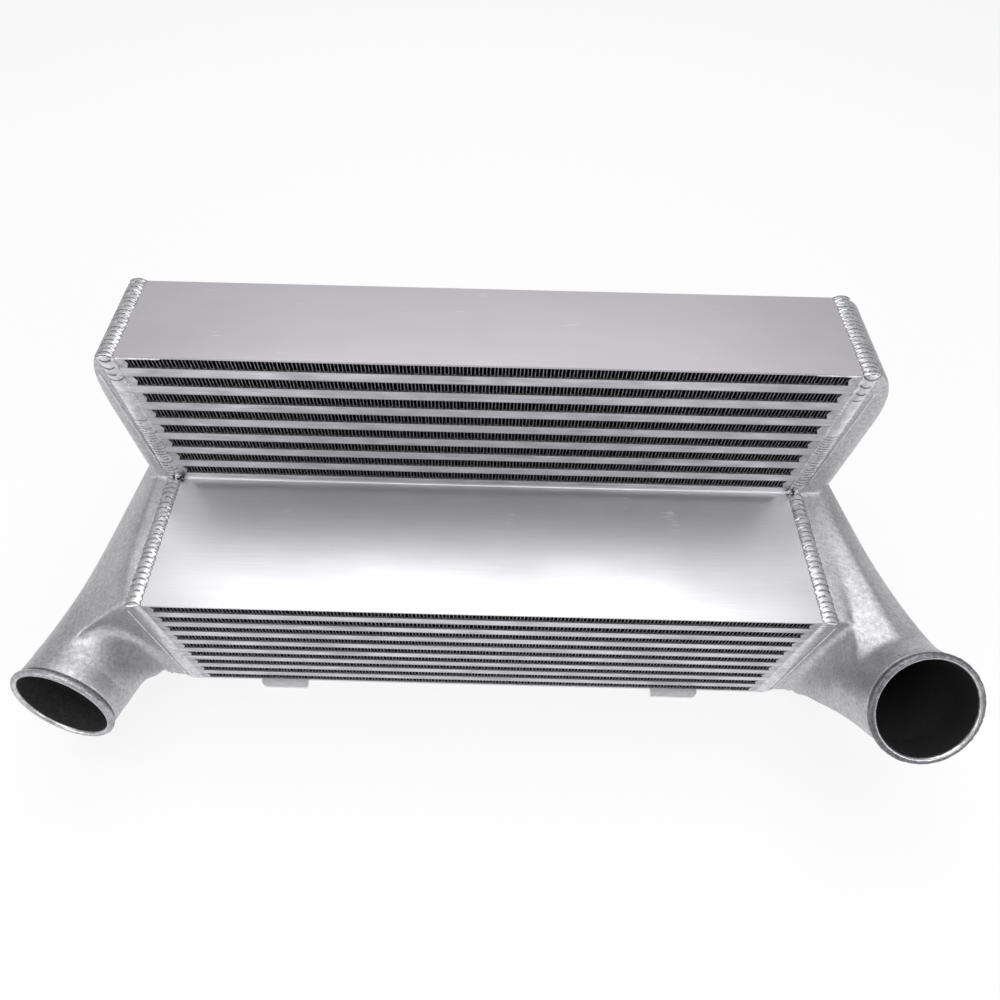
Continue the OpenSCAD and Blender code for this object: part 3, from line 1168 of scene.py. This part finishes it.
@dataclass
class CastTank:
    """A hollow sand-cast end tank: a neck that lofts to the port, and a leg beside the upper rows.

    Points are worked out for the right end, and the side's sign turns them round for the left.
    """

    core: Core
    side: Side
    shape: TankShape
    skin: Material
    inside: Material
    machined: Material
    groove: Material
    bead: Material
    leg_wall: float = 5.0
    hollow_share: float = 0.74
    corner_r: float = 5.0
    corner_share: float = 0.06
    side_steps: tuple[int, ...] = (6, 5, 7, 6)
    leg_corner_r: float = 8.0
    leg_foot: float = 36.0
    leg_foot_start: float = 10.0
    leg_foot_out: float = 6.0
    sleeve: float = 12.0
    sleeve_inset: float = 1.4
    fine: int = 4
    voxel: float = 1.4
    soften: int = 24
    past: float = 3.0

    def outline(self) -> tuple[np.ndarray, np.ndarray]:
        """Rounded outline of the neck at the seam, with each point's place counted in corners.

        Returns:
            Points of y and z, and their places.
        """
        c, corner_r, share = self.core, self.corner_r, self.corner_share
        y0, y1, z0, z1 = c.front_y, c.back_y, c.bottom_z, c.step_z
        corners = [np.array(p) for p in ((y0, z0), (y1, z0), (y1, z1), (y0, z1))]
        arcs = 3 * self.fine
        points, places = [], []
        for k, corner in enumerate(corners):
            back = corners[k - 1] - corner
            ahead = corners[(k + 1) % 4] - corner
            back, ahead = back / np.linalg.norm(back), ahead / np.linalg.norm(ahead)
            middle = corner + (back + ahead) * corner_r
            for j in range(arcs + 1):
                a = math.pi / 2 * j / arcs
                points.append(middle - corner_r * (ahead * math.cos(a) + back * math.sin(a)))
                places.append(k + share * (j / arcs - 0.5))
            start = corner + ahead * corner_r
            end = corners[(k + 1) % 4] - ahead * corner_r
            steps = self.side_steps[k] * self.fine
            for j in range(1, steps):
                points.append(start + (end - start) * j / steps)
                places.append(k + share / 2 + (1 - share) * j / steps)
        return np.array(points), np.array(places)

    def along(self, places: np.ndarray, name: str, turn: float = 0.0) -> np.ndarray:
        """One value of the stations at places on the outline.

        Args:
            places: Places counted in corners.
            name: Name of the station's value.
            turn: What the value gains on the way round.

        Returns:
            The value at each place.
        """
        stations = self.shape.stations
        marks = [s.place for s in stations] + [4.0]
        values = [getattr(s, name) for s in stations]
        values.append(values[0] + turn)
        return np.interp(np.where(places < 0, places + 4, places), marks, values)

    def neck(self, hollow: bool) -> Mesh:
        """Solid of the neck, or of the hollow in it.

        Args:
            hollow: True for the hollow.

        Returns:
            A closed mesh.
        """
        port, c = self.shape.port, self.core
        outline, places = self.outline()
        axis, across, up = port.axes()
        collar_end = port.mouth(c) - axis * port.spigot_l
        collar_start = collar_end - axis * port.collar_l
        ring_r = port.spigot_r + port.collar_step
        angle = np.radians(self.along(places, "angle", 360.0))
        spokes = ring_r * (np.outer(np.cos(angle), across) + np.outer(np.sin(angle), up))
        edge = np.column_stack([np.full(len(outline), c.half_l), outline])
        out = np.array([1.0, 0.0, 0.0])
        bend = edge + np.outer(self.along(places, "reach"), out)
        leave = np.outer(self.along(places, "seam_pull"), out)
        arrive = np.outer(self.along(places, "port_pull"), axis)
        to = collar_start + spokes
        rings = [edge, edge + (bend - edge) / 3, edge + (bend - edge) * 2 / 3]
        for t in np.linspace(0, 1, 9 * self.fine + 1):
            rings.append(
                (2 * t**3 - 3 * t**2 + 1) * bend
                + (t**3 - 2 * t**2 + t) * leave
                + (3 * t**2 - 2 * t**3) * to
                + (t**3 - t**2) * arrive
            )
        rings.append(collar_end + spokes)
        if hollow:
            last = (port.bore_r + port.collar_step) / ring_r
            rings = self.inner_rings(rings, last)
            first = rings[0] - out * 2 * self.past
            final = collar_end + axis * (self.sleeve + 2 * self.past) + spokes * last
        else:
            first = rings[0] - out * self.past
            final = collar_end + axis * self.sleeve + spokes * (1 - self.sleeve_inset / ring_r)
        return self.closed("neck", np.array([first, *rings, final]))

    def inner_rings(self, rings: list[np.ndarray], last: float) -> list[np.ndarray]:
        """Draw each ring together about its own middle, so that the hollow never meets the skin.

        Args:
            rings: The skin's rings from the seam to the port.
            last: Share of its size that the last ring keeps.

        Returns:
            The hollow's rings.
        """
        inner = []
        for i, ring in enumerate(rings):
            share = self.hollow_share + (last - self.hollow_share) * (i / (len(rings) - 1)) ** 3
            middle = ring.mean(0)
            inner.append(middle + (ring - middle) * share)
        return inner

    def closed(self, name: str, rings: np.ndarray) -> Mesh:
        """Close a stack of rings, on this tank's side of the core.

        Args:
            name: Name of the mesh.
            rings: Points by ring, told for the right end.

        Returns:
            A closed mesh.
        """
        count, around = rings.shape[:2]
        points = rings.reshape(-1, 3) * (self.side.value, 1, 1)
        faces = grid_faces(count, around, wrap=True) + end_faces(count, around)
        return finish_mesh(mesh_from(name, points, faces))

    def leg(self, hollow: bool) -> Mesh:
        """Solid of the leg beside the upper rows, or of the hollow in it.

        Args:
            hollow: True for the hollow.

        Returns:
            A closed mesh.
        """
        c = self.core
        inset = self.leg_wall if hollow else 0.0
        out = self.shape.leg_out - inset
        past = self.past * (2 if hollow else 1)
        foot_z = c.step_z - self.leg_foot + inset
        foot_top = c.step_z + self.leg_foot_start
        profile = [(-past, foot_z), (self.leg_foot_out - inset, foot_z), (out, foot_top)]
        for a in np.linspace(0, math.pi / 2, 6 * self.fine + 1):
            rise = (self.shape.shoulder_h - inset) * math.sin(a)
            profile.append((out * math.cos(a), c.top_z - self.shape.shoulder_h + rise))
        profile.append((-past, c.top_z - inset))
        r = max(self.leg_corner_r - inset, 1.0)
        y0, y1 = c.step_y + inset, c.back_y - inset
        turns = np.linspace(0, math.pi / 2, 2 * self.fine + 1)
        plan = [(y0 + r * (1 - math.cos(a)), r * (1 - math.sin(a))) for a in turns]
        plan += [(y1 - r * (1 - math.cos(a)), r * (1 - math.sin(a))) for a in turns[::-1]]
        rings = [[(c.half_l + min(x, out - trim), y, z) for x, z in profile] for y, trim in plan]
        return self.closed("leg", np.array(rings))

    def stub(self) -> Mesh:
        """Round stub behind the collar, which stands out of the neck's flat top face.

        Returns:
            A closed mesh.
        """
        p = self.shape.port
        axis, across, up = p.axes()
        end = p.mouth(self.core) - axis * (p.spigot_l + 1)
        angle = np.linspace(0, 2 * math.pi, 24 * self.fine, endpoint=False)
        spokes = p.spigot_r * (np.outer(np.cos(angle), across) + np.outer(np.sin(angle), up))
        rings = [end - axis * self.shape.stub_l + spokes, end + spokes]
        return self.closed("stub", np.array(rings))

    def spigot(self) -> Mesh:
        """Ring of the spigot with the bead that keeps a hose on.

        Returns:
            A closed mesh.
        """
        p = self.shape.port
        middle = p.spigot_l - p.bead_r
        start = middle - p.bead_r
        profile = [(p.bore_r + 1.2, -5.0), (p.bore_r + 0.4, -4.0), (p.bore_r, 0.0), (p.bore_r, start)]
        profile += [(p.bore_r, p.spigot_l - 2.2), (p.bore_r + 0.3, p.spigot_l - 1.0)]
        profile += [(p.bore_r + 0.9, p.spigot_l - 0.25), (p.bore_r + 1.6, p.spigot_l)]
        centre = p.spigot_r - p.bead_inset
        for i in range(19):
            a = math.radians(90 - 200 * i / 18)
            profile.append((centre + p.bead_r * math.cos(a), middle + p.bead_r * math.sin(a)))
        profile += [
            (p.spigot_r - p.groove_depth, start - 0.2),
            (p.spigot_r - p.groove_depth, start - p.groove_w + 0.6),
            (p.spigot_r - 0.15, start - p.groove_w - 0.2),
            (p.spigot_r, start - p.groove_w - 0.8),
            (p.spigot_r, 10.0),
            (p.spigot_r, 4.0),
            (p.spigot_r - 0.2, 0.0),
            (p.spigot_r - 1.0, -5.0),
        ]
        axis, across, up = p.axes()
        base = p.mouth(self.core) - axis * p.spigot_l
        around = 60 * self.fine
        points = []
        for radius, height in profile:
            on_bead = height > start and radius > p.bore_r + 0.8
            for k in range(around):
                a = 2 * math.pi * k / around
                outward = across * math.cos(a) + up * math.sin(a)
                point = base + axis * height + radius * outward
                if on_bead:
                    # Lumps of the cast bead: height and width in millimetres.
                    lumps = ((0.3, 2.6), (0.12, 0.9))
                    rough = sum(h * noise.noise(Vector(point / width)) for h, width in lumps)
                    point = point + rough * outward
                points.append(point)
        faces = grid_faces(len(profile), around, wrap=True)
        last = (len(profile) - 1) * around
        faces += [(last + k, k, (k + 1) % around, last + (k + 1) % around) for k in range(around)]
        mesh = finish_mesh(mesh_from("spigot", np.array(points) * (self.side.value, 1, 1), faces))
        # Strips of the profile, by material: the bore, the machined rim, the groove and the bead.
        kind = np.zeros(len(mesh.polygons), int)
        for index, (first, end) in enumerate(((0, 4), (4, 7), (26, 28), (7, 26)), start=1):
            kind[first * around : end * around] = index
        mesh.polygons.foreach_set("material_index", kind.tolist())
        return mesh

    def casting(self) -> Mesh:
        """Neck and leg as one hollow casting with soft edges.

        Returns:
            The mesh; faces inside the hollow have material index 1.
        """
        body = mesh_object("casting", self.neck(False))
        tools = [
            ("UNION", mesh_object("stub", self.stub())),
            ("UNION", mesh_object("leg", self.leg(False))),
            ("DIFFERENCE", mesh_object("neck_hollow", self.neck(True))),
            ("DIFFERENCE", mesh_object("leg_hollow", self.leg(True))),
        ]
        for operation, tool in tools:
            cut = body.modifiers.new(tool.name, "BOOLEAN")
            cut.operation = operation
            cut.object = tool
            cut.solver = "EXACT"
        remesh = body.modifiers.new("remesh", "REMESH")
        remesh.mode = "VOXEL"
        remesh.voxel_size = self.voxel * MM
        remesh.use_smooth_shade = True
        smooth = body.modifiers.new("soften", "SMOOTH")
        smooth.factor = 0.5
        smooth.iterations = self.soften
        graph = bpy.context.evaluated_depsgraph_get()
        mesh = bpy.data.meshes.new_from_object(body.evaluated_get(graph))
        for scrap in (body, *(tool for _, tool in tools)):
            bpy.data.objects.remove(scrap)
        trees = [self.skin_tree(hollow) for hollow in (False, True)]
        inner = []
        for face in mesh.polygons:
            outer_gap, hollow_gap = (tree.find_nearest(face.center)[3] for tree in trees)
            inner.append(int(hollow_gap < outer_gap))
        mesh.polygons.foreach_set("material_index", inner)
        mesh.polygons.foreach_set("use_smooth", [True] * len(inner))
        return mesh

    def skin_tree(self, hollow: bool) -> BVHTree:
        """Search tree over the neck's and the leg's skins.

        Args:
            hollow: True for the hollow's skins.

        Returns:
            The tree.
        """
        work = bmesh.new()
        for mesh in (self.neck(hollow), self.leg(hollow)):
            work.from_mesh(mesh)
            bpy.data.meshes.remove(mesh)
        tree = BVHTree.FromBMesh(work)
        work.free()
        return tree

    def build(self) -> None:
        """Make the casting and its spigot."""
        label = self.side.label
        skins = [self.skin, self.inside]
        add_piece(f"{label}_casting", self.casting(), skins, (f"{label}_tank",))
        skins += [self.machined, self.groove, self.bead]
        add_piece(f"{label}_spigot", self.spigot(), skins)


@dataclass
class FramePieces:
    """The CAD pieces that stay: plates, bars, tubes and tabs get their finishes.

    The finishes go by part of a node's name, and a later one holds over an earlier one.
    """

    nodes: dict[str, Object]
    finishes: dict[str, Material]

    def build(self) -> None:
        """Put a material on every slot of each node."""
        for name, node in self.nodes.items():
            slots = node.data.materials
            for key, material in self.finishes.items():
                if key not in name:
                    continue
                for i in range(len(slots)):
                    slots[i] = material
                if not slots:
                    slots.append(material)


def main() -> None:
    """Build the scene piece by piece."""
    logging.basicConfig(level=logging.INFO, format="%(message)s")
    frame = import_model()
    core = Core.from_frame()
    PhotoCamera().build()
    Studio().build()

    # Mill-finish aluminium sheet: satin and pale, with a soft sheen along the rolling.
    satin = RolledSheet("rolled_sheet", Grey("cfcfd2", "e6e6ea", 0.42, 0.34)).build()
    # The same sheet painted a shade darker as painted shade, so the top plate renders darker than the
    # step plate; duller, with fainter scratches.
    shaded_sheet_greys = Grey("c2bfc4", "cfccd1", 0.46, 0.4)
    shaded_cover = RolledSheet("top_cover_sheet", shaded_sheet_greys, scratch="dadadd").build()
    # Furnace-brazed aluminium extrusion: dull where the flux ran, a dark line at each sheet.
    bar_greys = Grey("b2b2b6", "e8e8ec", 0.5, 0.36)
    first_tube_z = core.bottom_z + FIN_ROW_H
    stack = BrazedStack("brazed_bars", bar_greys, first_z=first_tube_z).build()
    # Aluminium bar ends beside the weld: its smoke leaves them frosted and a little dull.
    ends = WeldMetal("closure_bars", Grey("aaaaae", "d8d8dc", 0.55, 0.4)).build()
    # Sawn aluminium plate, rough from the saw's fine cuts, and painted nearly white as painted light so
    # that its top face shows bright.
    tab = WeldMetal("sawn_tab", Grey("e8e8ea", "fafafc", 0.5, 0.35), 0.5).build()
    # Sand-cast aluminium: matt and grainy, clouded by the mould.
    cast = SandCast("sand_cast_skin", Grey("a6a5a8", "dddde0", 0.55, 0.45)).build()
    # The same casting inside the tanks: nearly black, because little light comes back out.
    hollows = {
        Side.RIGHT: SandCast("right_sand_cast_hollow", Grey("070707", "181616", 0.9, 0.8), 0.0).build(),
        Side.LEFT: SandCast("left_sand_cast_hollow", Grey("1a1819", "3c393a", 0.9, 0.7), 0.0).build(),
    }
    # The cast hose beads: rubbed smooth, so they mirror what is round them; the right one is painted
    # darker as painted shade.
    beads = {
        Side.RIGHT: SandCast("right_hose_bead", Grey("5a5a5e", "9a9a9e", 0.55, 0.4)).build(),
        Side.LEFT: SandCast("left_hose_bead", Grey("8c8c90", "d8d8dc", 0.55, 0.4)).build(),
    }
    # Aluminium turned on a lathe: the rim is the port's brightest edge, and the groove is painted a
    # dull dark grey as painted shade in the recess.
    machined = WeldMetal("machined_rim", Grey("b9b9bb", "e6e6e8", 0.4, 0.28)).build()
    shade = FinStock("turned_groove", Grey("5c5b5e", "807f82", 0.6, 0.5)).build()
    # Aluminium weld: bright crests, with thin grey lines of painted shade in the valleys and beside the
    # tank.
    weld = WeldMetal("weld_metal", Grey("c4c4c8", "f0f0f2", 0.42, 0.26)).build()
    painted_valley_shade = FinStock("weld_ripple_line", Grey("6c6c70", "98989c", 0.55, 0.45)).build()
    # Soot of the weld: flat dark specks.
    oxide = FinStock("soot", Grey("3c3b3e", "5c5b5e", 0.7, 0.6)).build()
    # Folded aluminium strip: painted dark between the folds as painted shade, with cut edges in a
    # brighter metal grey.
    stock = FinStock("fin_stock", Grey("161618", "2c2c2e", 0.65, 0.5)).build()
    cut = FinStock("fin_cut_edge", Grey("606064", "a0a0a4", 0.5, 0.35)).build()

    FramePieces(
        frame["nodes"],
        {
            "_plate": satin,
            "top_plate": shaded_cover,
            "charge_tube": stack,
            "closure_bars": ends,
            "_tab": tab,
            "turbulator": stock,
            "air_fin": stock,
            "tank": cast,
            "weld": weld,
        },
    ).build()
    FinPack(stock, cut).build()
    for side, shape in ((Side.RIGHT, RIGHT_TANK), (Side.LEFT, LEFT_TANK)):
        CastTank(core, side, shape, cast, hollows[side], machined, shade, beads[side]).build()
        SeamWeld(core, side, weld, painted_valley_shade).build()
        Ridges(core, side, weld).build()
        Spatter(core, side, weld, oxide).build()


if __name__ == "__main__":
    main()
